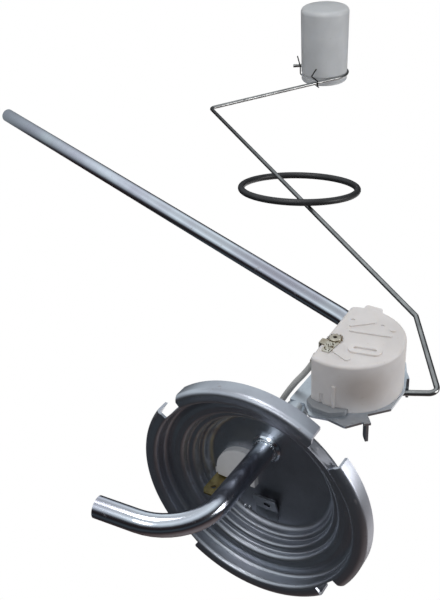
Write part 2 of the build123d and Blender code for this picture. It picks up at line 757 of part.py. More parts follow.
# Ground tab, a strip welded to the floor with its free end lifted
with BuildPart() as ground_tab:
    with BuildSketch(Plane(origin=(0, 0, ground_z - ground_width / 2), x_dir=(1, 0, 0),
                           z_dir=(0, 0, 1))) as ground_section:
        ground_line = [
            (ground_edge_x, floor_front - 2.4),
            (ground_foot_x - 4.6, floor_front),
            (ground_foot_x, floor_front),
        ]
        ground_back, ground_bend = parallel_line(ground_line, [3.0], ground_sheet)
        with BuildLine():
            under = FilletPolyline(*ground_line, radius=[3.0])
            over = FilletPolyline(*ground_back, radius=ground_bend)
            Line(under @ 0, over @ 0)
            Line(under @ 1, over @ 1)
        make_face()
    extrude(amount=ground_width)
    with BuildSketch(across(floor_front - 6)):
        with Locations((ground_edge_x + 4.4, ground_z + 0.6)):
            Circle(1.3)
    extrude(amount=-8, mode=Mode.SUBTRACT)
ground_tab.part.label = "ground_tab"
export_step(ground_tab.part, "parts/ground_tab.step")

# Lead from the blade to the crimp on the housing
with BuildPart() as lead_wire:
    with BuildLine() as lead_path:
        FilletPolyline(
            lead_start,
            lead_corner_a,
            lead_corner_b,
            lead_corner_c,
            lead_end,
            radius=[11.5, 16.0, 9.0],
        )
    with BuildSketch(Plane(lead_path.line @ 0, z_dir=lead_path.line % 0)):
        Circle(lead_radius)
    sweep(path=lead_path.line)
lead_wire.part.label = "lead_wire"
export_step(lead_wire.part, "parts/lead_wire.step")

# Float arm, one bent wire from the hinge shaft to the turn round the float and its straight tail
reach_y = float_y - corner_c[0]
reach_z = float_z - corner_c[1]
reach = math.hypot(reach_y, reach_z)
entry_angle = math.degrees(math.atan2(reach_z, reach_y) + math.asin(wrap_radius / reach)) + 90
wrap_mid_angle = (entry_angle + wrap_end_angle) / 2
tail_start = Vector(*float_point(float_plane_x, wrap_radius, wrap_end_angle))
tail_turn = math.radians(wrap_end_angle)
tail_heading = Vector(0, math.sin(tail_turn), -math.cos(tail_turn))
tail_side = Vector(0, math.cos(tail_turn), math.sin(tail_turn))
with BuildPart() as float_arm:
    with BuildLine() as arm_path:
        FilletPolyline(
            (shaft_end_x, pivot_y, pivot_z),
            (arm_plane_x, pivot_y, pivot_z),
            (arm_plane_x, *corner_a),
            (arm_plane_x, *corner_b),
            (float_plane_x, *corner_c),
            float_point(float_plane_x, wrap_radius, entry_angle),
            radius=[shaft_bend_radius, 4.5, 4.0, 3.6],
        )
        ThreePointArc(
            float_point(float_plane_x, wrap_radius, entry_angle),
            float_point(float_plane_x, wrap_radius, wrap_mid_angle),
            float_point(float_plane_x, wrap_radius, wrap_end_angle),
        )
        Line(tail_start, tail_start + tail_heading * tail_length)
    with BuildSketch(Plane((shaft_end_x, pivot_y, pivot_z), z_dir=(1, 0, 0))):
        Circle(wire_radius)
    sweep(path=arm_path.wires()[0])
    chamfer(float_arm.faces().sort_by(Axis.X)[0].edges(), length=0.3)
float_arm.part.label = "float_arm"
export_step(float_arm.part, "parts/float_arm.step")

# Hollow float with a groove for the wire near its base
cap_height = 2.2
cap_x = float_base_x - cap_height
groove_half = wire_radius + 0.1
neck_radius = float_radius - groove_depth - 0.05
float_frame = Plane(origin=(0, float_y, float_z), x_dir=(1, 0, 0), z_dir=(0, 0, 1))
float_axis = Axis((0, float_y, float_z), (1, 0, 0))
with BuildPart() as float_body:
    with BuildSketch(float_frame) as body_section:
        with BuildLine():
            body_top = FilletPolyline(
                (cap_x, 0),
                (cap_x, float_radius),
                (float_top_x + 1.2, float_top_radius),
                (float_top_x + 0.6, 8.0),
                (float_top_x, 0),
                radius=[0.2, 3.4, 20.0],
            )
            Line(body_top @ 1, body_top @ 0)
        make_face()
        with Locations((float_plane_x, float_radius)):
            Rectangle(2 * groove_half, 2 * (groove_depth + 0.05), mode=Mode.SUBTRACT)
        with BuildLine():
            cavity = Polyline(
                (cap_x, 0),
                (cap_x, neck_radius - float_wall),
                (float_plane_x - groove_half - float_wall, neck_radius - float_wall),
                (float_plane_x - groove_half - 2 * float_wall, float_radius - float_wall),
                (float_top_x + 4.4, float_top_radius - float_wall),
                (float_top_x + 2.0, float_top_radius - 3.6),
                (float_top_x + 1.5, 0),
                close=True,
            )
        make_face(mode=Mode.SUBTRACT)
    revolve(axis=float_axis)
float_body.part.label = "float_body"
export_step(float_body.part, "parts/float_body.step")

# Cap welded in the open end, with the foot rim of the float
with BuildPart() as float_cap:
    with BuildSketch(float_frame) as cap_section:
        with BuildLine():
            Polyline(
                (cap_x - 1.2, 0),
                (cap_x - 1.2, neck_radius - float_wall - 0.05),
                (cap_x, neck_radius - float_wall - 0.05),
                (cap_x, float_radius),
                (float_base_x - 1.3, float_radius),
                (float_base_x - 0.4, float_radius - 0.5),
                (float_base_x, float_radius - 1.5),
                (float_base_x, float_radius - 3.2),
                (float_base_x - 0.8, float_radius - 3.8),
                (float_base_x - 0.8, 0),
                close=True,
            )
        make_face()
    revolve(axis=float_axis)
float_cap.part.label = "float_cap"
export_step(float_cap.part, "parts/float_cap.step")

# Spring clip across the base of the float, from the arm wire in front to its tail behind
clip_wire_radius = 0.45
clip_low_x = float_base_x + clip_wire_radius
clip_tail_reach = 16.8
clip_hook_reach = 18.3
clip_gap = wire_radius + clip_wire_radius + 0.1
entry_turn = math.radians(entry_angle)
entry_heading = Vector(0, math.sin(entry_turn), -math.cos(entry_turn))
entry_side = Vector(0, math.cos(entry_turn), math.sin(entry_turn))
float_middle = Vector(float_plane_x, float_y, float_z)
hooked = Vector(*float_point(float_plane_x, wrap_radius, entry_angle)) - entry_heading * clip_hook_reach
hook_out = hooked + entry_side * (clip_gap + 0.15)
crossed = tail_start + tail_heading * clip_tail_reach - tail_side * clip_gap
rim_out = float_middle + (hooked - float_middle).normalized() * (float_radius + 0.3)
with BuildPart() as float_clip:
    with BuildLine() as clip_path:
        FilletPolyline(
            crossed + Vector(-9.4, -5.0, 0.2),
            crossed,
            (clip_low_x, crossed.Y, crossed.Z),
            (clip_low_x, rim_out.Y, rim_out.Z),
            (hooked.X + clip_gap + 0.15, hook_out.Y, hook_out.Z),
            (hooked.X - clip_gap - 0.15, hook_out.Y, hook_out.Z),
            hooked + Vector(-4.4, -0.2, -3.9),
            hooked + Vector(-8.4, 5.3, -2.8),
            radius=[2.5, 1.2, 1.0, 1.2, 1.0, 0.8],
        )
    with BuildSketch(Plane(clip_path.line @ 0, z_dir=clip_path.line % 0)):
        Circle(clip_wire_radius)
    sweep(path=clip_path.line)
float_clip.part.label = "float_clip"
export_step(float_clip.part, "parts/float_clip.step")

# Seal ring of the flange, threaded on the long leg of the arm
leg_start = Vector(arm_plane_x, *corner_b)
leg_end = Vector(float_plane_x, *corner_c)
leg_heading = (leg_end - leg_start).normalized()
hang_share = (ring_hang_y - corner_b[0]) / (corner_c[0] - corner_b[0])
hang_point = leg_start + (leg_end - leg_start) * hang_share
ring_normal = Vector(*ring_facing).normalized()
ring_along = (leg_heading - ring_normal * leg_heading.dot(ring_normal)).normalized()
ring_spoke = ring_along.rotate(Axis((0, 0, 0), ring_normal), ring_swing)
ring_tangent = ring_normal.cross(ring_spoke)
ring_lift = leg_heading.cross(ring_tangent).normalized()
if ring_lift.X > 0:
    ring_lift = ring_lift * -1
ring_touch = hang_point + ring_lift * (wire_radius + ring_section + ring_gap)
ring_centre = ring_touch + ring_spoke * ring_radius
with BuildPart(Plane(ring_centre, z_dir=ring_normal)) as seal_ring:
    Torus(ring_radius, ring_section)
seal_ring.part.label = "seal_ring"
export_step(seal_ring.part, "parts/seal_ring.step")

print("arm at rest", round(arm_angle_rest, 3), "travel", round(arm_travel, 3))
print("ring centre", ring_centre, "normal", ring_normal)
lead_length = lead_path.wires()[0].length
print("lead length", round(lead_length, 2), "volume", round(lead_wire.part.volume, 2),
      "section x length", round(lead_length * math.pi * lead_radius ** 2, 2))
print("lead bend radii", [round(e.radius, 2) for e in lead_path.edges().filter_by(GeomType.CIRCLE)])
print("entry angle", round(entry_angle, 2))
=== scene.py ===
import math

import bmesh
import bpy
from mathutils import Matrix, Vector


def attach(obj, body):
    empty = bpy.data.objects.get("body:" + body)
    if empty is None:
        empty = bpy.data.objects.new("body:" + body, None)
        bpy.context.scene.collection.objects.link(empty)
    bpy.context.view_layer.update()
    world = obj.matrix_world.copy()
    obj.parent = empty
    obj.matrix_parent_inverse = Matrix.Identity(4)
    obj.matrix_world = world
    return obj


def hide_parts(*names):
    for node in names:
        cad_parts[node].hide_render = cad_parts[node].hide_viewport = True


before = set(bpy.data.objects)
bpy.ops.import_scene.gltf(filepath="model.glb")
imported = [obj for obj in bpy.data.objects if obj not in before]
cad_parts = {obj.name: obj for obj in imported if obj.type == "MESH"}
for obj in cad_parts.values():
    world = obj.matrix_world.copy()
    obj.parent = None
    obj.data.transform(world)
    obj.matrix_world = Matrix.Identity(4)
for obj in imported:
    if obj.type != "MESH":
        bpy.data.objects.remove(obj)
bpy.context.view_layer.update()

# Sizes and places are in millimetres, as in the solids, and MM makes them metres.
# Those of the camera, the floor, the lights, the lead and the materials' patterns are in metres.
MM = 0.001
FLOOR_Z = -0.300

# The camera with the photograph's view: its axes, its place and its focal length in the photograph's pixels
CAMERA_RIGHT = Vector((0.04445, 0.523917, 0.850609))
CAMERA_UP = Vector((-0.847053, 0.471179, -0.245951))
CAMERA_BACK = Vector((-0.529647, -0.709578, 0.464729))
CAMERA_PLACE = Vector((-0.241480, -0.221274, 0.132960))
FOCAL_PIXELS = 960.5
PICTURE_HEIGHT = 600
SENSOR_SIZE = 36.0
CAMERA_NEAR = 0.01
CAMERA_FAR = 20.0


def set_camera():
    """Camera of the picture, rolled so that the flange is low and the float is at the top."""
    turn = Matrix((CAMERA_RIGHT, CAMERA_UP, CAMERA_BACK)).transposed().to_4x4()
    data = bpy.data.cameras.new("sender_camera")
    data.sensor_width = SENSOR_SIZE
    data.lens = FOCAL_PIXELS / PICTURE_HEIGHT * SENSOR_SIZE
    data.clip_start = CAMERA_NEAR
    data.clip_end = CAMERA_FAR
    camera = bpy.data.objects.new("sender_camera", data)
    camera.matrix_world = Matrix.Translation(CAMERA_PLACE) @ turn
    bpy.context.scene.collection.objects.link(camera)
    bpy.context.scene.camera = camera
    # The standard transform keeps the white background white and clean at the edges of thin wires
    bpy.context.scene.view_settings.view_transform = "Standard"


set_camera()


def new_material(name):
    """An empty node material with its Principled shader and output."""
    material = bpy.data.materials.new(name)
    material.use_nodes = True
    tree = material.node_tree
    tree.nodes.clear()
    output = tree.nodes.new("ShaderNodeOutputMaterial")
    shader = tree.nodes.new("ShaderNodeBsdfPrincipled")
    tree.links.new(shader.outputs["BSDF"], output.inputs["Surface"])
    return material, tree, shader


def feed(tree, socket, value):
    """Gives a socket another socket's output, a plain colour or a number."""
    if isinstance(value, bpy.types.NodeSocket):
        tree.links.new(value, socket)
    elif socket.type == "RGBA":
        socket.default_value = (*value, 1.0)
    else:
        socket.default_value = value


def mix_colours(tree, factor, low, high):
    """A mix of two colours, each a socket or a plain colour. The node's colour sockets go by number."""
    mix = tree.nodes.new("ShaderNodeMix")
    mix.data_type = "RGBA"
    feed(tree, mix.inputs[0], factor)
    feed(tree, mix.inputs[6], low)
    feed(tree, mix.inputs[7], high)
    return mix.outputs[2]


def map_range(tree, value, low, high, out_low=0.0, out_high=1.0):
    """A clamped linear map of one value."""
    node = tree.nodes.new("ShaderNodeMapRange")
    feed(tree, node.inputs["Value"], value)
    feed(tree, node.inputs["From Min"], low)
    feed(tree, node.inputs["From Max"], high)
    feed(tree, node.inputs["To Min"], out_low)
    feed(tree, node.inputs["To Max"], out_high)
    return node.outputs["Result"]


def maths(tree, kind, first, second):
    """One math node with sockets or numbers as its inputs."""
    node = tree.nodes.new("ShaderNodeMath")
    node.operation = kind
    feed(tree, node.inputs[0], first)
    feed(tree, node.inputs[1], second)
    return node.outputs["Value"]


def vector_maths(tree, kind, first, second=None):
    """One vector math node with a socket and, where it takes one, a second vector."""
    node = tree.nodes.new("ShaderNodeVectorMath")
    node.operation = kind
    feed(tree, node.inputs[0], first)
    if second is not None:
        feed(tree, node.inputs[1], second)
    return node.outputs["Value" if kind in ("DOT_PRODUCT", "LENGTH") else "Vector"]


def noise(tree, vector, scale, detail, rough, distortion=0.0):
    """A noise value on the given coordinates."""
    node = tree.nodes.new("ShaderNodeTexNoise")
    feed(tree, node.inputs["Vector"], vector)
    feed(tree, node.inputs["Scale"], scale)
    feed(tree, node.inputs["Detail"], detail)
    feed(tree, node.inputs["Roughness"], rough)
    feed(tree, node.inputs["Distortion"], distortion)
    return node.outputs["Fac"]


def new_group(name, inputs, outputs):
    """A shader node group with named sockets. Returns its tree, input node and output node."""
    tree = bpy.data.node_groups.new(name, "ShaderNodeTree")
    for label, kind in inputs:
        tree.interface.new_socket(label, in_out="INPUT", socket_type=kind)
    for label, kind in outputs:
        tree.interface.new_socket(label, in_out="OUTPUT", socket_type=kind)
    return tree, tree.nodes.new("NodeGroupInput"), tree.nodes.new("NodeGroupOutput")


COLOUR = "NodeSocketColor"
NUMBER = "NodeSocketFloat"
PLACE = "NodeSocketVector"


def plated_tone_group():
    """Colour, roughness and height of plated sheet: soft clouding, fine grain, specks and scratches."""
    tree, given, result = new_group(
        "Plated Tone",
        [("Place", PLACE), ("Bright", COLOUR), ("Dull", COLOUR), ("Stain", COLOUR), ("Cloud Scale", NUMBER),
         ("Stain Share", NUMBER), ("Smooth", NUMBER), ("Rough", NUMBER)],
        [("Colour", COLOUR), ("Roughness", NUMBER), ("Height", NUMBER)])
    place = given.outputs["Place"]
    cloud = noise(tree, place, given.outputs["Cloud Scale"], 5.0, 0.6)
    cloud_fac = map_range(tree, cloud, 0.38, 0.64)
    grain = noise(tree, place, 1500.0, 3.0, 0.6)
    speck = noise(tree, place, 420.0, 2.0, 0.5)
    speck_fac = map_range(tree, speck, 0.66, 0.74)
    blotch = noise(tree, place, 32.0, 6.0, 0.68, 0.4)
    blotch_edge = maths(tree, "SUBTRACT", 0.72, maths(tree, "MULTIPLY", given.outputs["Stain Share"], 0.3))
    blotch_fac = map_range(tree, blotch, blotch_edge, maths(tree, "ADD", blotch_edge, 0.12))
    colour = mix_colours(tree, cloud_fac, given.outputs["Dull"], given.outputs["Bright"])
    colour = mix_colours(tree, maths(tree, "MULTIPLY", blotch_fac, 0.55), colour, given.outputs["Stain"])
    colour = mix_colours(tree, maths(tree, "MULTIPLY", speck_fac, 0.35), colour, given.outputs["Stain"])
    stretch = tree.nodes.new("ShaderNodeMapping")
    stretch.inputs["Scale"].default_value = (1.0, 14.0, 1.0)
    stretch.inputs["Rotation"].default_value = (0.3, 0.5, 0.7)
    tree.links.new(place, stretch.inputs["Vector"])
    scratch = noise(tree, stretch.outputs["Vector"], 210.0, 2.0, 0.5)
    scratch_fac = map_range(tree, scratch, 0.70, 0.74)
    rough = map_range(tree, cloud, 0.3, 0.7, given.outputs["Rough"], given.outputs["Smooth"])
    rough = maths(tree, "ADD", rough, maths(tree, "MULTIPLY", speck_fac, 0.2))
    rough = maths(tree, "ADD", rough, maths(tree, "MULTIPLY", blotch_fac, 0.15))
    rough = maths(tree, "SUBTRACT", rough, maths(tree, "MULTIPLY", scratch_fac, 0.06))
    height = maths(tree, "ADD", maths(tree, "MULTIPLY", grain, 0.3), maths(tree, "MULTIPLY", cloud, 0.7))
    height = maths(tree, "SUBTRACT", height, maths(tree, "MULTIPLY", scratch_fac, 0.5))
    height = maths(tree, "SUBTRACT", height, maths(tree, "MULTIPLY", speck_fac, 0.4))
    tree.links.new(colour, result.inputs["Colour"])
    tree.links.new(rough, result.inputs["Roughness"])
    tree.links.new(height, result.inputs["Height"])
    return tree


def moulded_tone_group():
    """Colour, roughness and height of moulded plastic: slight clouding, stains, specks and fine grain."""
    tree, given, result = new_group(
        "Moulded Tone",
        [("Place", PLACE), ("Body", COLOUR), ("Shade", COLOUR), ("Stain", COLOUR), ("Stain Share", NUMBER),
         ("Roughness", NUMBER)],
        [("Colour", COLOUR), ("Roughness", NUMBER), ("Height", NUMBER)])
    place = given.outputs["Place"]
    cloud = noise(tree, place, 55.0, 4.0, 0.55)
    fine = noise(tree, place, 900.0, 3.0, 0.6)
    blotch = noise(tree, place, 95.0, 6.0, 0.7, 0.6)
    blotch_edge = maths(tree, "SUBTRACT", 0.74, maths(tree, "MULTIPLY", given.outputs["Stain Share"], 0.3))
    blotch_fac = map_range(tree, blotch, blotch_edge, maths(tree, "ADD", blotch_edge, 0.14))
    cloud_fac = map_range(tree, cloud, 0.35, 0.65)
    colour = mix_colours(tree, cloud_fac, given.outputs["Shade"], given.outputs["Body"])
    colour = mix_colours(tree, maths(tree, "MULTIPLY", blotch_fac, 0.45), colour, given.outputs["Stain"])
    speck_fac = map_range(tree, noise(tree, place, 620.0, 2.0, 0.5), 0.70, 0.76)
    colour = mix_colours(tree, maths(tree, "MULTIPLY", speck_fac, 0.4), colour, given.outputs["Stain"])
    uneven = maths(tree, "MULTIPLY", map_range(tree, cloud, 0.3, 0.7), 0.12)
    rough = maths(tree, "ADD", given.outputs["Roughness"], uneven)
    rough = maths(tree, "ADD", rough, maths(tree, "MULTIPLY", blotch_fac, 0.1))
    height = maths(tree, "ADD", maths(tree, "MULTIPLY", fine, 0.4), maths(tree, "MULTIPLY", cloud, 0.8))
    tree.links.new(colour, result.inputs["Colour"])
    tree.links.new(rough, result.inputs["Roughness"])
    tree.links.new(height, result.inputs["Height"])
    return tree


PLATED_TONE = plated_tone_group()
MOULDED_TONE = moulded_tone_group()


def object_place(tree, offset):
    """Object coordinates, moved a little so that two materials don't share one pattern."""
    coords = tree.nodes.new("ShaderNodeTexCoord")
    mapping = tree.nodes.new("ShaderNodeMapping")
    mapping.inputs["Location"].default_value = offset
    tree.links.new(coords.outputs["Object"], mapping.inputs["Vector"])
    return mapping.outputs["Vector"]


def toned_material(name, tones, settings, bump_strength, bump_depth, offset):
    """A material that takes its colour, roughness and height from a shared tone group."""
    material, tree, shader = new_material(name)
    tone = tree.nodes.new("ShaderNodeGroup")
    tone.name = "tone"
    tone.node_tree = tones
    feed(tree, tone.inputs["Place"], object_place(tree, offset))
    for label, value in settings.items():
        feed(tree, tone.inputs[label], value)
    feed(tree, shader.inputs["Base Color"], tone.outputs["Colour"])
    feed(tree, shader.inputs["Roughness"], tone.outputs["Roughness"])
    bump = tree.nodes.new("ShaderNodeBump")
    bump.inputs["Strength"].default_value = bump_strength
    bump.inputs["Distance"].default_value = bump_depth
    feed(tree, bump.inputs["Height"], tone.outputs["Height"])
    feed(tree, shader.inputs["Normal"], bump.outputs["Normal"])
    return material, shader


METAL_BUMP_DEPTH = 0.0004
PLASTIC_BUMP_DEPTH = 0.0003
SCATTER_RADIUS = (0.004, 0.0036, 0.003)
SCATTER_SCALE = 0.6


def plated_metal(name, bright, dull, stain, cloud, smooth, rough, share=0.3, bump=0.05, offset=(0, 0, 0)):
    """Plated or bare metal with the shared tone."""
    settings = {"Bright": bright, "Dull": dull, "Stain": stain, "Cloud Scale": cloud, "Stain Share": share,
                "Smooth": smooth, "Rough": rough}
    material, shader = toned_material(name, PLATED_TONE, settings, bump, METAL_BUMP_DEPTH, offset)
    shader.inputs["Metallic"].default_value = 1.0
    return material


def moulded_plastic(name, body, shade, stain, rough, share=0.2, bump=0.06, scatter=0.0, offset=(0, 0, 0)):
    """Moulded plastic with the shared tone, where scatter is the share of light that sinks in."""
    settings = {"Body": body, "Shade": shade, "Stain": stain, "Stain Share": share, "Roughness": rough}
    material, shader = toned_material(name, MOULDED_TONE, settings, bump, PLASTIC_BUMP_DEPTH, offset)
    if scatter:
        shader.inputs["Subsurface Weight"].default_value = scatter
        shader.inputs["Subsurface Radius"].default_value = SCATTER_RADIUS
        shader.inputs["Subsurface Scale"].default_value = SCATTER_SCALE
    return material


STAIN_GREY = (0.20, 0.20, 0.21)
STAIN_BROWN = (0.24, 0.17, 0.10)
flange_plate = plated_metal("flange_plate", (0.50, 0.53, 0.58), (0.38, 0.39, 0.44), (0.33, 0.27, 0.26),
                            cloud=26.0, smooth=0.33, rough=0.43, share=0.25, bump=0.003)
pipe_plate = plated_metal("pipe_plate", (0.62, 0.66, 0.72), (0.50, 0.50, 0.58), (0.40, 0.31, 0.28),
                          cloud=30.0, smooth=0.13, rough=0.22, share=0.2, bump=0.01, offset=(0.3, 0.1, 0))
bracket_plate = plated_metal("bracket_plate", (0.62, 0.66, 0.70), (0.48, 0.52, 0.57), STAIN_GREY,
                             cloud=70.0, smooth=0.28, rough=0.42, bump=0.03, offset=(0.5, 0.2, 0))
arm_steel = plated_metal("arm_steel", (0.38, 0.38, 0.375), (0.26, 0.26, 0.26), STAIN_GREY,
                         cloud=90.0, smooth=0.24, rough=0.36, share=0.35, bump=0.01, offset=(0.7, 0.4, 0))
tab_plate = plated_metal("tab_plate", (0.26, 0.28, 0.31), (0.18, 0.19, 0.21), STAIN_GREY,
                         cloud=90.0, smooth=0.26, rough=0.38, bump=0.02, offset=(0.25, 0.15, 0))
dark_spring = plated_metal("dark_spring", (0.030, 0.030, 0.030), (0.015, 0.015, 0.015), STAIN_BROWN,
                           cloud=200.0, smooth=0.45, rough=0.60, share=0.05, offset=(0.2, 0.9, 0))
aged_tin = plated_metal("aged_tin", (0.66, 0.63, 0.56), (0.50, 0.46, 0.38), (0.16, 0.09, 0.04),
                        cloud=160.0, smooth=0.32, rough=0.50, share=0.7, offset=(0.15, 0.6, 0))
tarnished_brass = plated_metal("tarnished_brass", (0.36, 0.30, 0.13), (0.22, 0.18, 0.07), STAIN_BROWN,
                               cloud=120.0, smooth=0.30, rough=0.50, share=0.5, offset=(0.8, 0.3, 0))
rust_crust = plated_metal("rust_crust", (0.17, 0.11, 0.04), (0.035, 0.022, 0.010), (0.015, 0.010, 0.006),
                          cloud=900.0, smooth=0.45, rough=0.75, share=0.6, bump=0.2, offset=(0.35, 0.2, 0))
# Very bright, smooth metal of the drops that stand in for two glints: a painted highlight.
glint_bead_metal = plated_metal("glint_bead_metal", (0.92, 0.93, 0.95), (0.80, 0.81, 0.84), STAIN_GREY,
                           cloud=300.0, smooth=0.10, rough=0.20, share=0.05, bump=0.02,
                           offset=(0.45, 0.1, 0))
clean_brass = plated_metal("clean_brass", (0.74, 0.58, 0.30), (0.60, 0.46, 0.22), STAIN_BROWN,
                           cloud=80.0, smooth=0.22, rough=0.36, offset=(0.1, 0.3, 0))
braze_metal = plated_metal("braze_metal", (0.62, 0.50, 0.30), (0.42, 0.34, 0.22), STAIN_BROWN,
                           cloud=160.0, smooth=0.30, rough=0.5, share=0.5, offset=(0.4, 0.3, 0))

# Painted shade of the resistor card on the cover's wall, where the card would show through the nylon: its
# middle, its half sizes, its colour and its strength
CARD_SHADE_PLACE = (-0.0268, 0.0379, 0.0229)
CARD_SHADE_REACH = (0.0100, 0.0125, 0.0125)
CARD_SHADE_COLOUR = (0.36, 0.30, 0.26)
CARD_SHADE_STRENGTH = 0.55


def cover_material():
    """Natural nylon of the cover, with a dim warm shade of the resistor card painted on its wall where the
    card would show through.
    """
    material = moulded_plastic("cover_nylon", (0.71, 0.675, 0.66), (0.63, 0.595, 0.58), (0.45, 0.38, 0.30),
                               rough=0.38, share=0.10, bump=0.012, scatter=0.45)
    tree = material.node_tree
    from_card = object_place(tree, tuple(-value for value in CARD_SHADE_PLACE))
    distance = vector_maths(tree, "LENGTH", vector_maths(tree, "DIVIDE", from_card, CARD_SHADE_REACH))
    shade = maths(tree, "MULTIPLY", map_range(tree, distance, 1.0, 0.35), CARD_SHADE_STRENGTH)
    # Mixes the painted shade of the card into the nylon's colour.
    colour = mix_colours(tree, shade, tree.nodes["tone"].outputs["Colour"], CARD_SHADE_COLOUR)
    feed(tree, tree.nodes["Principled BSDF"].inputs["Base Color"], colour)
    return material


cover_nylon = cover_material()
base_nylon = moulded_plastic("base_nylon", (0.25, 0.26, 0.275), (0.20, 0.21, 0.225), (0.16, 0.15, 0.14),
                             rough=0.42, offset=(0.4, 0, 0))
insulator_nylon = moulded_plastic("insulator_nylon", (0.62, 0.62, 0.63), (0.55, 0.55, 0.56),
                                  (0.35, 0.32, 0.27), rough=0.45, share=0.1, offset=(0.6, 0, 0))
float_nylon = moulded_plastic("float_nylon", (0.60, 0.61, 0.62), (0.54, 0.55, 0.56), (0.42, 0.41, 0.38),
                              rough=0.34, share=0.05, scatter=0.3, offset=(0.9, 0, 0))
lead_sleeve = moulded_plastic("lead_sleeve", (0.42, 0.42, 0.40), (0.35, 0.35, 0.34), (0.22, 0.20, 0.17),
                              rough=0.5, offset=(0.3, 0.3, 0))
seal_rubber = moulded_plastic("seal_rubber", (0.012, 0.012, 0.013), (0.02, 0.02, 0.022), (0.06, 0.06, 0.06),
                              rough=0.40, share=0.06, bump=0.02, offset=(0.1, 0.7, 0))
card_board = moulded_plastic("card_board", (0.26, 0.14, 0.07), (0.20, 0.11, 0.06), (0.10, 0.06, 0.04),
                             rough=0.6)
hub_black = moulded_plastic("hub_black", (0.03, 0.03, 0.032), (0.045, 0.045, 0.047), (0.08, 0.08, 0.08),
                            rough=0.4)

FINISHES = {
    "flange": flange_plate, "pickup_pipe": pipe_plate, "pipe_collar": pipe_plate, "bracket": bracket_plate,
    "bracket_braze": braze_metal, "bearing_bush": clean_brass, "housing_base": base_nylon,
    "housing_cover": cover_nylon, "housing_terminal": aged_tin, "housing_eyelet": aged_tin,
    "resistor_card": card_board, "resistance_winding": arm_steel, "contact_strip": clean_brass,
    "wiper_hub": hub_black, "wiper": clean_brass, "shaft_clip": arm_steel,
    "terminal_insulator": insulator_nylon, "insulator_washer": insulator_nylon,
    "terminal_blade": tarnished_brass, "ground_tab": tab_plate, "lead_wire": lead_sleeve,
    "float_arm": arm_steel, "float_body": float_nylon, "float_cap": float_nylon,
    "float_clip": dark_spring, "seal_ring": seal_rubber,
}


def dress_nodes():
    """Gives every solid its finish."""
    for name, finish in FINISHES.items():
        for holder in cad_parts[name].material_slots:
            holder.material = finish


dress_nodes()


def rounded(points, radii, steps=7):
    """A line through flat places whose inner corners are rounded, each by its own radius."""
    line = [Vector(points[0])]
    for before, corner, after, radius in zip(points, points[1:], points[2:], radii):
        corner = Vector(corner)
        to_before = (Vector(before) - corner).normalized()
        to_after = (Vector(after) - corner).normalized()
        half = to_before.angle(to_after) / 2
        reach = radius / math.tan(half)
        centre = corner + (to_before + to_after).normalized() * (radius / math.sin(half))
        start = corner + to_before * reach - centre
        end = corner + to_after * reach - centre
        sweep = math.pi - 2 * half
        for step in range(steps + 1):
            part = step / steps
            spoke = start * math.sin((1 - part) * sweep) + end * math.sin(part * sweep)
            line.append(centre + spoke / math.sin(sweep))
    line.append(Vector(points[-1]))
    return line


def beside(points, radii, gap):
    """Points and radii of the line that runs at a gap to the right of another one."""
    places = [Vector(point) for point in points]
    headings = [(after - before).normalized() for before, after in zip(places, places[1:])]
    rights = [Vector((heading.y, -heading.x)) for heading in headings]
    moved = [places[0] + rights[0] * gap]
    bends = []
    for index, (place, radius) in enumerate(zip(places[1:], radii)):
        first, second = rights[index], rights[index + 1]
        moved.append(place + (first + second) * (gap / (1 + first.dot(second))))
        turns_left = headings[index].cross(headings[index + 1]) > 0
        bends.append(radius + gap if turns_left else radius - gap)
    moved.append(places[-1] + rights[-1] * gap)
    return moved, bends


def mesh_object(name, mesh):
    """Puts a bmesh in the scene as an object and frees it."""
    data = bpy.data.meshes.new(name)
    bmesh.ops.recalc_face_normals(mesh, faces=mesh.faces)
    mesh.to_mesh(data)
    mesh.free()
    piece = bpy.data.objects.new(name, data)
    bpy.context.scene.collection.objects.link(piece)
    return piece


FLANGE_SECTORS = 240
MERGE_GAP = 1e-7


def turned(name, outline):
    """A closed outline of (radius, y) places turned about the flange axis."""
    mesh = bmesh.new()
    rings = []
    for step in range(FLANGE_SECTORS):
        angle = math.tau * step / FLANGE_SECTORS
        rings.append([mesh.verts.new((r * MM * math.cos(angle), y * MM, r * MM * math.sin(angle)))
                      for r, y in outline])
    for ring, other in zip(rings, rings[1:] + rings[:1]):
        for index in range(len(outline)):
            after = (index + 1) % len(outline)
            mesh.faces.new((ring[index], ring[after], other[after], other[index]))
    bmesh.ops.remove_doubles(mesh, verts=mesh.verts, dist=MERGE_GAP)
    return mesh_object(name, mesh)


def prism(name, outline, low, high):
    """A block between two heights along Y over an outline of (x, z) places, in millimetres."""
    mesh = bmesh.new()
    ends = [[mesh.verts.new((x * MM, y * MM, z * MM)) for x, z in outline] for y in (low, high)]
    mesh.faces.new(ends[0])
    mesh.faces.new(ends[1])
    for index in range(len(outline)):
        after = (index + 1) % len(outline)
        mesh.faces.new((ends[0][index], ends[0][after], ends[1][after], ends[1][index]))
    return mesh_object(name, mesh)


def cut_away(piece, cutters):
    """Takes the cutters out of a piece and removes them."""
    for cutter in cutters:
        change = piece.modifiers.new("cut", "BOOLEAN")
        change.object = cutter
        change.operation = "DIFFERENCE"
        change.solver = "EXACT"
    graph = bpy.context.evaluated_depsgraph_get()
    data = bpy.data.meshes.new_from_object(piece.evaluated_get(graph))
    piece.modifiers.clear()
    piece.data = data
    for cutter in cutters:
        bpy.data.objects.remove(cutter)


def smooth_by_angle(piece, degrees):
    """Smooth shading, with edges kept sharp where faces meet at more than an angle."""
    for polygon in piece.data.polygons:
        polygon.use_smooth = True
    mesh = bmesh.new()
    mesh.from_mesh(piece.data)
    for edge in mesh.edges:
        edge.smooth = len(edge.link_faces) == 2 and edge.calc_face_angle(0.0) < math.radians(degrees)
    mesh.to_mesh(piece.data)
    mesh.free()


def disc(x, z, radius, count=48):
    """The places of a circle round (x, z)."""
    return [(x + radius * math.cos(math.tau * k / count), z + radius * math.sin(math.tau * k / count))
            for k in range(count)]


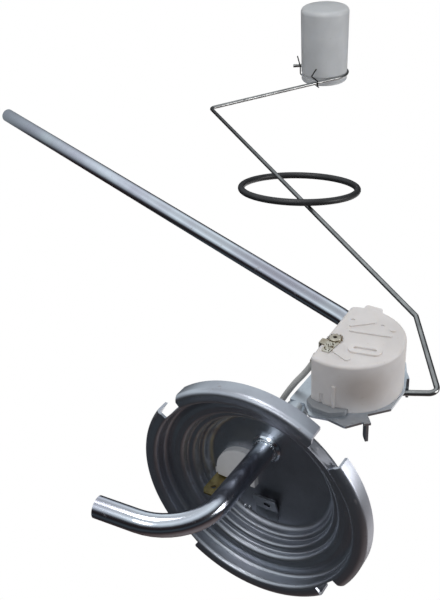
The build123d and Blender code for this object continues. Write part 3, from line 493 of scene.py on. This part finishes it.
# The pressed flange, as its solid has it but with the softer bends of a deep pressing.
# Each step of the well has its radius, its depth and the bend at its foot.
SHEET = 1.0
RIM = 45.4
RIM_EDGE = -0.2
RIM_HEIGHT = 6.9
RIM_WALL = 39.8
RIM_BENDS = (2.2, 1.7, 1.6)
BEAD = 36.0
BEAD_FOOT = 2.4
BEAD_CREST = 0.8
BEAD_HEIGHT = 0.3
BEAD_BEND = 3.0
WELL_BEND = 2.1
LEDGE_BEND = 1.4
STEPS = ((31.5, 2.0, 0.8), (28.5, 5.5, 0.5), (26.5, 9.5, 2.4))
FLOOR_MIDDLE = 0.001
FLANGE_EDGE_ANGLE = 35.0

# Notches in the rim, each narrow at its root and flared at its mouth
NOTCH_COUNT = 4
NOTCH_ANGLE = 48.0
NOTCH_ROOT = (RIM_WALL + 0.95, 5.0)
NOTCH_FLARE = (RIM - 2.4, 5.3)
NOTCH_MOUTH = (RIM + 2.0, 9.1)
NOTCH_BENDS = (0.6, 2.0, 0.2, 0.2)
NOTCH_DEPTHS = (-RIM_HEIGHT - 1, 2.0)

# Holes in the floor of the well, for the pipe and for the blade's insulator
FLOOR_DEPTHS = (8.0, 12.0)
PIPE_PLACE = (-11.1, -1.1)
PIPE_HOLE = 4.05
SLOT_PLACE = (7.801, -19.398)
SLOT_HALF_WIDTH = 3.0
SLOT_HALF_LENGTH = 4.15
SLOT_CORNER = 1.0
CUT_STEPS = 5


def flange_outline():
    """The closed section of the sheet, front line and back line, from rim to middle."""
    face = -SHEET
    crest = face - BEAD_HEIGHT
    line = [(RIM, RIM_EDGE), (RIM, -RIM_HEIGHT), (RIM_WALL, -RIM_HEIGHT), (RIM_WALL, face),
            (BEAD + BEAD_FOOT, face), (BEAD + BEAD_CREST, crest), (BEAD - BEAD_CREST, crest),
            (BEAD - BEAD_FOOT, face), (STEPS[0][0], face)]
    radii = [*RIM_BENDS, *[BEAD_BEND] * 4, WELL_BEND]
    for (radius, depth, bend), (inner, *_) in zip(STEPS, STEPS[1:]):
        line += [(radius, depth), (inner, depth)]
        radii += [bend, LEDGE_BEND]
    radius, depth, bend = STEPS[-1]
    line += [(radius, depth), (FLOOR_MIDDLE, depth)]
    radii.append(bend)
    return rounded(line, radii) + rounded(*beside(line, radii, SHEET))[::-1]


def notch_cutter(turn):
    """A block that cuts one notch, turned about the flange axis."""
    side = [NOTCH_ROOT, NOTCH_FLARE, NOTCH_MOUTH]
    corners = [(x, -z) for x, z in side] + side[::-1]
    outline = [(x * math.cos(turn) - z * math.sin(turn), x * math.sin(turn) + z * math.cos(turn))
               for x, z in rounded(corners, NOTCH_BENDS, CUT_STEPS)]
    return prism("notch_cutter", outline, *NOTCH_DEPTHS)


def slot_cutter():
    """A block that cuts the slot of the blade's insulator."""
    x, z = SLOT_PLACE
    left, right = x - SLOT_HALF_WIDTH, x + SLOT_HALF_WIDTH
    low, high = z - SLOT_HALF_LENGTH, z + SLOT_HALF_LENGTH
    corners = [(x, low), (right, low), (right, high), (left, high), (left, low), (x, low)]
    return prism("slot_cutter", rounded(corners, [SLOT_CORNER] * 4, CUT_STEPS)[:-1], *FLOOR_DEPTHS)


def make_flange():
    """The round pressed flange with rim, bead, stepped well, notches and floor holes."""
    piece = turned("flange_pressing", flange_outline())
    turns = [math.radians(NOTCH_ANGLE + 360 / NOTCH_COUNT * notch) for notch in range(NOTCH_COUNT)]
    cutters = [notch_cutter(turn) for turn in turns]
    cutters.append(prism("pipe_cutter", disc(*PIPE_PLACE, PIPE_HOLE), *FLOOR_DEPTHS))
    cutters.append(slot_cutter())
    cut_away(piece, cutters)
    smooth_by_angle(piece, FLANGE_EDGE_ANGLE)
    piece.data.materials.clear()
    piece.data.materials.append(flange_plate)
    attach(piece, "sender")
    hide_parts("flange")


make_flange()


SEED = "NodeSocketInt"
MATERIAL = "NodeSocketMaterial"


def geometry_group(name, inputs):
    """A Geometry Nodes group with a geometry input, named inputs and a geometry output."""
    tree = bpy.data.node_groups.new(name, "GeometryNodeTree")
    tree.interface.new_socket("Geometry", in_out="INPUT", socket_type="NodeSocketGeometry")
    for label, kind in inputs:
        tree.interface.new_socket(label, in_out="INPUT", socket_type=kind)
    tree.interface.new_socket("Geometry", in_out="OUTPUT", socket_type="NodeSocketGeometry")
    return tree, tree.nodes.new("NodeGroupInput"), tree.nodes.new("NodeGroupOutput")


def random_scale(tree, size, seed, low, high):
    """A random vector between two shares of a size, one for each point."""
    pick = tree.nodes.new("FunctionNodeRandomValue")
    pick.data_type = "FLOAT_VECTOR"
    pick.inputs[0].default_value = low
    pick.inputs[1].default_value = high
    tree.links.new(seed, pick.inputs["Seed"])
    scale = tree.nodes.new("ShaderNodeVectorMath")
    scale.operation = "SCALE"
    tree.links.new(pick.outputs[0], scale.inputs[0])
    tree.links.new(size, scale.inputs["Scale"])
    return scale.outputs["Vector"]


def random_turn(tree, seed):
    """A random rotation for each point."""
    pick = tree.nodes.new("FunctionNodeRandomValue")
    pick.data_type = "FLOAT_VECTOR"
    pick.inputs[0].default_value = (0.0, 0.0, 0.0)
    pick.inputs[1].default_value = (math.tau, math.tau, math.tau)
    tree.links.new(seed, pick.inputs["Seed"])
    return pick.outputs[0]


def finish_instances(tree, given, result, instances):
    """Realizes instances and gives them the named material."""
    realize = tree.nodes.new("GeometryNodeRealizeInstances")
    dress = tree.nodes.new("GeometryNodeSetMaterial")
    tree.links.new(instances, realize.inputs["Geometry"])
    tree.links.new(realize.outputs["Geometry"], dress.inputs["Geometry"])
    tree.links.new(given.outputs["Material"], dress.inputs["Material"])
    tree.links.new(dress.outputs["Geometry"], result.inputs["Geometry"])


GRAIN_DETAIL = 2
GRAIN_SCALES = ((0.3, 0.5, 0.4), (1.0, 1.7, 1.5))
RIPPLE_SCALES = ((0.85, 0.75, 0.85), (1.0, 1.0, 1.0))
DROP_SEGMENTS = 14
DROP_RINGS = 9
WIRE_BEND_STEPS = 12
WIRE_SIDES = 28


def crust_grain_nodes():
    """Scatters small angular grains of rust and solder over a patch."""
    tree, given, result = geometry_group("Crust Grains", [
        ("Grain Density", NUMBER), ("Grain Size", NUMBER), ("Seed", SEED), ("Material", MATERIAL)])
    spread = tree.nodes.new("GeometryNodeDistributePointsOnFaces")
    tree.links.new(given.outputs["Geometry"], spread.inputs["Mesh"])
    tree.links.new(given.outputs["Grain Density"], spread.inputs["Density"])
    tree.links.new(given.outputs["Seed"], spread.inputs["Seed"])
    grain = tree.nodes.new("GeometryNodeMeshIcoSphere")
    grain.inputs["Radius"].default_value = 1.0
    grain.inputs["Subdivisions"].default_value = GRAIN_DETAIL
    place = tree.nodes.new("GeometryNodeInstanceOnPoints")
    tree.links.new(spread.outputs["Points"], place.inputs["Points"])
    tree.links.new(grain.outputs["Mesh"], place.inputs["Instance"])
    scale = random_scale(tree, given.outputs["Grain Size"], given.outputs["Seed"], *GRAIN_SCALES)
    tree.links.new(random_turn(tree, given.outputs["Seed"]), place.inputs["Rotation"])
    tree.links.new(scale, place.inputs["Scale"])
    finish_instances(tree, given, result, place.outputs["Instances"])
    return tree


def bead_ripple_nodes():
    """Sets overlapping drops along lines, as a brazed or soldered bead freezes."""
    tree, given, result = geometry_group("Bead Ripples", [
        ("Pitch", NUMBER), ("Ripple Radius", NUMBER), ("Seed", SEED), ("Material", MATERIAL)])
    curve = tree.nodes.new("GeometryNodeMeshToCurve")
    tree.links.new(given.outputs["Geometry"], curve.inputs["Mesh"])
    points = tree.nodes.new("GeometryNodeResampleCurve")
    points.mode = "LENGTH"
    tree.links.new(curve.outputs["Curve"], points.inputs["Curve"])
    tree.links.new(given.outputs["Pitch"], points.inputs["Length"])
    drop = tree.nodes.new("GeometryNodeMeshUVSphere")
    drop.inputs["Segments"].default_value = DROP_SEGMENTS
    drop.inputs["Rings"].default_value = DROP_RINGS
    drop.inputs["Radius"].default_value = 1.0
    smooth = tree.nodes.new("GeometryNodeSetShadeSmooth")
    tree.links.new(drop.outputs["Mesh"], smooth.inputs["Geometry"])
    place = tree.nodes.new("GeometryNodeInstanceOnPoints")
    tree.links.new(points.outputs["Curve"], place.inputs["Points"])
    tree.links.new(smooth.outputs["Geometry"], place.inputs["Instance"])
    scale = random_scale(tree, given.outputs["Ripple Radius"], given.outputs["Seed"], *RIPPLE_SCALES)
    tree.links.new(scale, place.inputs["Scale"])
    finish_instances(tree, given, result, place.outputs["Instances"])
    return tree


def bent_wire_nodes():
    """Bends a line of edges round its corners and gives it a round section."""
    tree, given, result = geometry_group("Bent Wire", [
        ("Bend Radius", NUMBER), ("Wire Radius", NUMBER), ("Material", MATERIAL)])
    curve = tree.nodes.new("GeometryNodeMeshToCurve")
    tree.links.new(given.outputs["Geometry"], curve.inputs["Mesh"])
    bend = tree.nodes.new("GeometryNodeFilletCurve")
    bend.mode = "POLY"
    bend.inputs["Count"].default_value = WIRE_BEND_STEPS
    bend.inputs["Limit Radius"].default_value = True
    tree.links.new(curve.outputs["Curve"], bend.inputs["Curve"])
    tree.links.new(given.outputs["Bend Radius"], bend.inputs["Radius"])
    section = tree.nodes.new("GeometryNodeCurvePrimitiveCircle")
    section.inputs["Resolution"].default_value = WIRE_SIDES
    tree.links.new(given.outputs["Wire Radius"], section.inputs["Radius"])
    sweep = tree.nodes.new("GeometryNodeCurveToMesh")
    sweep.inputs["Fill Caps"].default_value = True
    tree.links.new(bend.outputs["Curve"], sweep.inputs["Curve"])
    tree.links.new(section.outputs["Curve"], sweep.inputs["Profile Curve"])
    finish_instances(tree, given, result, sweep.outputs["Mesh"])
    return tree


CRUST_GRAINS = crust_grain_nodes()
BEAD_RIPPLES = bead_ripple_nodes()
BENT_WIRE = bent_wire_nodes()


def grown(name, host, tree, settings):
    """Runs a Geometry Nodes group on a host mesh once and keeps the result as a plain mesh."""
    change = host.modifiers.new("growth", "NODES")
    change.node_group = tree
    sockets = {item.name: item.identifier for item in tree.interface.items_tree if item.in_out == "INPUT"}
    for label, value in settings.items():
        change[sockets[label]] = value
    graph = bpy.context.evaluated_depsgraph_get()
    data = bpy.data.meshes.new_from_object(host.evaluated_get(graph))
    data.name = name
    piece = bpy.data.objects.new(name, data)
    bpy.context.scene.collection.objects.link(piece)
    bpy.data.objects.remove(host)
    return piece


def bare_object(name, places, edges, faces):
    """An object in the scene from places in metres and what joins them."""
    data = bpy.data.meshes.new(name)
    data.from_pydata(places, edges, faces)
    item = bpy.data.objects.new(name, data)
    bpy.context.scene.collection.objects.link(item)
    return item


def lid_patch(outline, hole=()):
    """A host face on the lid terminal over (y, z) places, with an optional hole of as many places."""
    places = [(TERMINAL_X * MM, y * MM, z * MM) for y, z in [*outline, *hole]]
    count = len(outline)
    faces = [tuple(range(count))]
    if hole:
        faces = [(k, (k + 1) % count, (k + 1) % count + count, k + count) for k in range(count)]
    return bare_object("lid_patch", places, [], faces)


def line_host(lines):
    """A host of bare edges through lists of places."""
    places, edges = [], []
    for line in lines:
        edges += [(len(places) + k, len(places) + k + 1) for k in range(len(line) - 1)]
        places += [tuple(value * MM for value in place) for place in line]
    return bare_object("line_host", places, edges, [])


# Crust on the lid's terminal: a ring round the eyelet and a patch on the strip's free end, as (y, z) places
TERMINAL_X = -37.5
EYELET_PLACE = (49.0, 6.4)
CRUST_RING = (3.1, 2.2)
CRUST_RING_PLACES = 32
STRIP_END = ((40.2, 5.3), (45.4, 5.2), (45.6, 8.3), (40.2, 8.0))
EYELET_CRUST = {"Grain Density": 4.5e6, "Grain Size": 0.00019, "Seed": 3, "Material": rust_crust}
STRIP_CRUST = {"Grain Density": 2.2e6, "Grain Size": 0.00021, "Seed": 7, "Material": rust_crust}


def make_terminal_crust():
    """Brown rust and solder grains round the eyelet and on the free end of the strip."""
    ring = lid_patch(*(disc(*EYELET_PLACE, radius, CRUST_RING_PLACES) for radius in CRUST_RING))
    end = lid_patch(STRIP_END)
    for name, host, crust in (("eyelet_crust", ring, EYELET_CRUST), ("strip_crust", end, STRIP_CRUST)):
        piece = grown(name, host, CRUST_GRAINS, crust)
        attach(piece, "sender")


# Braze beads between pipe and bracket, and the braze fillet of the collar
BEAD_START = 38.6
BEAD_END = 51.4
BEAD_X = -14.5
BEAD_SIDE = 2.15
COLLAR_FACE = 7.9
COLLAR_RADIUS = 4.15
COLLAR_PLACES = 72
SIDE_BRAZE = {"Pitch": 0.00085, "Ripple Radius": 0.0010, "Seed": 5, "Material": braze_metal}
COLLAR_BRAZE = {"Pitch": 0.00036, "Ripple Radius": 0.00055, "Seed": 2, "Material": pipe_plate}


def make_braze():
    """Rippled braze along both sides of the pipe under the bracket, and round the pipe at the collar."""
    sides = [[(BEAD_X, BEAD_START, PIPE_PLACE[1] + side), (BEAD_X, BEAD_END, PIPE_PLACE[1] + side)]
             for side in (-BEAD_SIDE, BEAD_SIDE)]
    piece = grown("rippled_braze", line_host(sides), BEAD_RIPPLES, SIDE_BRAZE)
    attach(piece, "sender")
    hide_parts("bracket_braze")
    ring = [(x, COLLAR_FACE, z) for x, z in disc(*PIPE_PLACE, COLLAR_RADIUS, COLLAR_PLACES)]
    fillet = grown("collar_fillet", line_host([ring + ring[:1]]), BEAD_RIPPLES, COLLAR_BRAZE)
    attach(fillet, "sender")


# Bright drops beside the foot of the ground tab that stand in for two glints of light on the floor's edge, a
# painted highlight: as (x, y, z, radius), and their shape
GLINT_BEADS = ((22.4, 9.25, -11.2, 0.95), (22.2, 9.45, -9.3, 0.75))
GLINT_BEAD_STRETCH = (1.15, 0.55, 0.8, 1)


def make_glint_beads():
    """Two bright drops on the floor by the ground tab, a painted highlight where there are only glints of
    light.
    """
    mesh = bmesh.new()
    for x, y, z, radius in GLINT_BEADS:
        place = Matrix.Translation((x * MM, y * MM, z * MM)) @ Matrix.Diagonal(GLINT_BEAD_STRETCH)
        bmesh.ops.create_uvsphere(mesh, u_segments=20, v_segments=12, radius=radius * MM, matrix=place)
    for face in mesh.faces:
        face.smooth = True
    piece = mesh_object("glint_beads", mesh)
    piece.data.materials.append(glint_bead_metal)
    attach(piece, "sender")


# Lead from the blade to the crimp, in metres, with the points of part.py
LEAD_ROUTE = ((0.007501, 0.0132, -0.019398), (0.0055, 0.0360, -0.0175), (-0.0165, 0.0381, -0.0074),
              (-0.0240, 0.0448, -0.0016), (-0.0300, 0.0455, 0.00076))
LEAD_DIAMETER = 0.0024


def make_lead():
    """The sleeved lead, a short stiff cord that goes back into the sender."""
    curve = bpy.data.curves.new("lead_sleeve_wire", "CURVE")
    curve.dimensions = "3D"
    curve.bevel_depth = LEAD_DIAMETER / 2
    curve.bevel_resolution = 6
    curve.resolution_u = 24
    spline = curve.splines.new("NURBS")
    spline.points.add(len(LEAD_ROUTE) - 1)
    for point, place in zip(spline.points, LEAD_ROUTE):
        point.co = (*place, 1.0)
    spline.order_u = 3
    spline.use_endpoint_u = True
    piece = bpy.data.objects.new("lead_sleeve_wire", curve)
    bpy.context.scene.collection.objects.link(piece)
    curve.materials.append(lead_sleeve)
    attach(piece, "sender")
    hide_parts("lead_wire")


# The float arm: shaft, four straight runs, turn round the float and tail.
# One radius bends its four corners, where the solid's have 3.0 to 4.5 mm. At 3.8 mm the wire clears the bush.
ARM_RADIUS = 1.2
ARM_BEND = 3.8
ARM_EDGE_ANGLE = 50.0
PIVOT = (54.4, 10.4)
SHAFT_END_X = -31.0
ARM_X = -10.2
FLOAT_X = -1.6
ARM_CORNERS = ((ARM_X, 69.79, 41.11), (ARM_X, 117.04, 12.85), (FLOAT_X, 310.81, -214.95))
FLOAT_CENTRE = (410.75, -177.0)
WRAP_RADIUS = 17.05
WRAP_TURNS = (119.97, -31.8)
WRAP_STEPS = 44
TAIL = 22.0


def make_arm():
    """The bent arm wire with a finer section than its solid's facets give."""
    route = [(SHAFT_END_X, *PIVOT), (ARM_X, *PIVOT), *ARM_CORNERS]
    first, last = WRAP_TURNS
    for step in range(WRAP_STEPS + 1):
        turn = math.radians(first + (last - first) * step / WRAP_STEPS)
        route.append((FLOAT_X, FLOAT_CENTRE[0] + WRAP_RADIUS * math.cos(turn),
                      FLOAT_CENTRE[1] + WRAP_RADIUS * math.sin(turn)))
    route.append((FLOAT_X, route[-1][1] + TAIL * math.sin(turn), route[-1][2] - TAIL * math.cos(turn)))
    piece = grown("bent_arm_wire", line_host([route]), BENT_WIRE,
                  {"Bend Radius": ARM_BEND * MM, "Wire Radius": ARM_RADIUS * MM, "Material": arm_steel})
    smooth_by_angle(piece, ARM_EDGE_ANGLE)
    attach(piece, "arm")
    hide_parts("float_arm")


make_arm()
make_terminal_crust()
make_braze()
make_glint_beads()
make_lead()


# The studio's glow, as (place, red, green, blue), from the side away from ROOM_AXIS to the side along it.
# On dull surfaces EVEN_SHARE of it is EVEN_GLOW, the same from all sides.
ROOM_AXIS = (CAMERA_UP * 0.85 + CAMERA_BACK * 0.36 - CAMERA_RIGHT * 0.38).normalized()
ROOM_MIDDLE = Vector((-0.01, 0.10, -0.05))
ROOM_GLOW = ((0.0, 0.24, 0.21, 0.20), (0.10, 0.12, 0.09, 0.085), (0.21, 0.022, 0.018, 0.020),
             (0.34, 0.055, 0.070, 0.080), (0.46, 0.016, 0.014, 0.016), (0.58, 0.024, 0.017, 0.017),
             (0.645, 0.06, 0.062, 0.070), (0.72, 0.48, 0.53, 0.555), (0.84, 1.02, 1.10, 1.14),
             (0.93, 0.68, 0.715, 0.735), (1.0, 0.48, 0.50, 0.52))
EVEN_GLOW = (0.44, 0.445, 0.46)
EVEN_SHARE = 0.75
FLOOR_REACH = 6.0

# Lights: name, place from ROOM_MIDDLE to the camera's right, up and back, size, and power in watts
LIGHTS = (("key", -0.25, 0.75, 0.45, 0.45, 3.6), ("side", 0.90, 0.10, 0.30, 0.35, 3.3),
          ("front", -0.55, 0.25, 1.20, 0.35, 2.1), ("edge", 0.90, -0.30, -0.75, 0.80, 1.8),
          ("back", 0.0, -0.05, -0.95, 0.90, 5.5))


def room_glow(tree, direction):
    """Brightness of the studio in one direction: soft white overhead, dark in front and below."""
    ramp = tree.nodes.new("ShaderNodeValToRGB")
    along = vector_maths(tree, "DOT_PRODUCT", direction, ROOM_AXIS)
    feed(tree, ramp.inputs["Fac"], map_range(tree, along, -1.0, 1.0))
    stops = ramp.color_ramp.elements
    while len(stops) < len(ROOM_GLOW):
        stops.new(0.5)
    for stop, (place, *glow) in zip(stops, ROOM_GLOW):
        stop.position = place
        stop.color = (*glow, 1)
    paths = tree.nodes.new("ShaderNodeLightPath")
    even = maths(tree, "MULTIPLY", paths.outputs["Is Diffuse Ray"], EVEN_SHARE)
    return mix_colours(tree, even, ramp.outputs["Color"], EVEN_GLOW)


def studio_surface(tree, kind, direction, output):
    """White as the camera sees it, and the studio's glow for every other ray."""
    glow = tree.nodes.new(kind)
    feed(tree, glow.inputs["Color"], room_glow(tree, direction))
    white = tree.nodes.new(kind)
    feed(tree, white.inputs["Color"], (1, 1, 1))
    paths = tree.nodes.new("ShaderNodeLightPath")
    mix = tree.nodes.new("ShaderNodeMixShader")
    feed(tree, mix.inputs["Fac"], paths.outputs["Is Camera Ray"])
    tree.links.new(glow.outputs[0], mix.inputs[1])
    tree.links.new(white.outputs[0], mix.inputs[2])
    tree.links.new(mix.outputs["Shader"], output.inputs["Surface"])


def set_floor():
    """A wide pale floor under the lowest point, plain white to look at and softly lit in reflections."""
    corners = [(x * FLOOR_REACH, y * FLOOR_REACH, FLOOR_Z) for x, y in ((-1, -1), (1, -1), (1, 1), (-1, 1))]
    floor = bare_object("studio_floor", corners, [], [(0, 1, 2, 3)])
    material = bpy.data.materials.new("studio_floor")
    material.use_nodes = True
    tree = material.node_tree
    tree.nodes.clear()
    output = tree.nodes.new("ShaderNodeOutputMaterial")
    coords = tree.nodes.new("ShaderNodeTexCoord")
    away = vector_maths(tree, "SUBTRACT", coords.outputs["Object"], ROOM_MIDDLE)
    studio_surface(tree, "ShaderNodeEmission", vector_maths(tree, "NORMALIZE", away), output)
    floor.data.materials.append(material)


def set_world():
    """The same white and glow above the floor."""
    world = bpy.data.worlds.new("studio_room")
    bpy.context.scene.world = world
    world.use_nodes = True
    tree = world.node_tree
    tree.nodes.clear()
    output = tree.nodes.new("ShaderNodeOutputWorld")
    coords = tree.nodes.new("ShaderNodeTexCoord")
    studio_surface(tree, "ShaderNodeBackground", coords.outputs["Generated"], output)


def set_lights():
    """Soft square lights, all aimed at the middle of the object."""
    for name, right, up, back, size, power in LIGHTS:
        data = bpy.data.lights.new(name, "AREA")
        data.shape = "SQUARE"
        data.size = size
        data.energy = power
        light = bpy.data.objects.new(name, data)
        offset = CAMERA_RIGHT * right + CAMERA_UP * up + CAMERA_BACK * back
        light.location = ROOM_MIDDLE + offset
        light.rotation_euler = (-offset).to_track_quat("-Z", "Y").to_euler()
        bpy.context.scene.collection.objects.link(light)


set_floor()
set_world()
set_lights()
